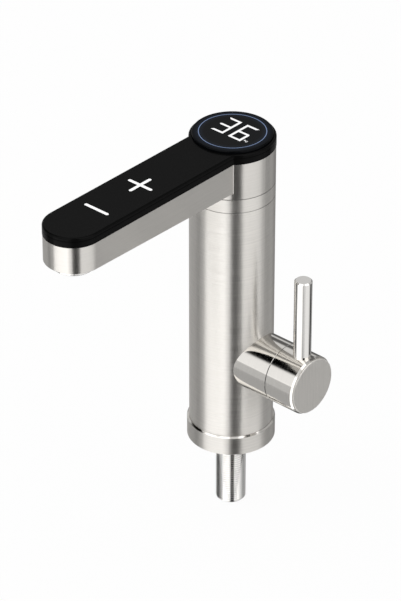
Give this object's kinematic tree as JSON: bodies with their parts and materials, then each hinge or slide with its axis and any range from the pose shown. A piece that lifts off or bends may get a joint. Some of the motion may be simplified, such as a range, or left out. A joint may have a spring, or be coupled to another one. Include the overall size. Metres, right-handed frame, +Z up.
{
  "type": "electric instant water heater tap",
  "caption": "Upright brushed steel kitchen tap that heats water as it flows, with a swivelling spout, a touch panel and temperature display on top, and a side lever.",
  "frame": {"origin": "centre of the foot's underside on the column's axis, on the plane of the deck", "axes": "+Z up along the column, -Y towards the spout's tip, +X towards the lever"},
  "size_m": [0.1036, 0.2032, 0.2936],
  "materials": {
    "stainless_brushed": "fine brushed stainless steel",
    "stainless_bright": "turned and polished stainless steel",
    "zinc_plated_steel": "zinc plated steel",
    "brass": "turned brass",
    "black_gloss_plastic": "moulded gloss black",
    "black_glass": "black tinted lens, gloss",
    "white_marks": "white print",
    "lit_white": "lit white figures",
    "lit_blue": "lit blue ring",
    "black_rubber": "moulded rubber",
    "grey_plastic": "moulded engineering plastic",
    "black_plastic": "moulded plastic",
    "white_plastic": "moulded plastic",
    "circuit_board": "green glass fibre board",
    "ceramic": "ground alumina ceramic",
    "magnet": "nickel plated magnet"
  },
  "bodies": {
    "root": {"base_ring": "stainless_brushed", "base_gasket": "black_rubber", "base_flange": "brass", "base_screws": "zinc_plated_steel", "threaded_stem": "stainless_bright", "cable_bush": "black_rubber", "column_shell": "stainless_brushed", "terminal_block": "white_plastic", "terminal_screws": "zinc_plated_steel", "power_board": "circuit_board", "power_relay": "black_plastic", "earth_screw": "brass", "flow_switch_body": "grey_plastic", "flow_switch_cap": "grey_plastic", "reed_switch": "black_plastic", "valve_block": "brass", "cartridge_body": "white_plastic", "cartridge_seals": "black_rubber", "fixed_disc": "ceramic", "cartridge_nut": "brass", "hub_sleeve": "stainless_brushed", "tank_nipple": "brass", "heater_tank": "grey_plastic", "heating_elements": "stainless_bright", "thermal_cutout": "black_plastic", "temperature_probe": "stainless_bright", "tank_lid": "grey_plastic", "swivel_post": "grey_plastic", "swivel_orings": "black_rubber", "swivel_collar": "stainless_brushed", "collar_screws": "zinc_plated_steel", "swivel_bush": "white_plastic", "stop_pin": "stainless_bright", "retaining_ring": "stainless_bright"},
    "lever": {"moving_disc": "ceramic", "cartridge_spindle": "brass", "lever_cap": "stainless_brushed", "lever_end_plate": "stainless_brushed", "lever_rod": "stainless_bright", "lever_screw": "zinc_plated_steel"},
    "float": {"flow_float": "white_plastic", "float_magnet": "magnet"},
    "spout": {"spout_shell": "stainless_brushed", "spout_hub": "grey_plastic", "hub_screws": "zinc_plated_steel", "waterway_tube": "white_plastic", "outlet_block": "grey_plastic", "aerator_housing": "stainless_bright", "aerator_insert": "white_plastic", "aerator_seal": "black_rubber", "panel_gasket": "black_rubber", "touch_panel": "black_gloss_plastic", "key_marks": "white_marks", "touch_board": "circuit_board", "touch_pads": "black_rubber", "board_screws": "zinc_plated_steel", "display_lens": "black_glass", "light_ring": "lit_blue", "display_digits": "lit_white", "display_board": "circuit_board"}
  },
  "joints": [
    {"name": "spout_swivel", "type": "hinge", "parent": "root", "child": "spout", "pos_m": [0, 0, 0.2026], "axis": [0, 0, 1], "range_deg": [-120, 120]},
    {"name": "lever_turn", "type": "hinge", "parent": "root", "child": "lever", "pos_m": [0.0485, 0, 0.0688], "axis": [1, 0, 0], "range_deg": [-90, 90]},
    {"name": "float_lift", "type": "slide", "parent": "root", "child": "float", "axis": [0, 0, 1], "range_m": [0, 0.006]}
  ]
}
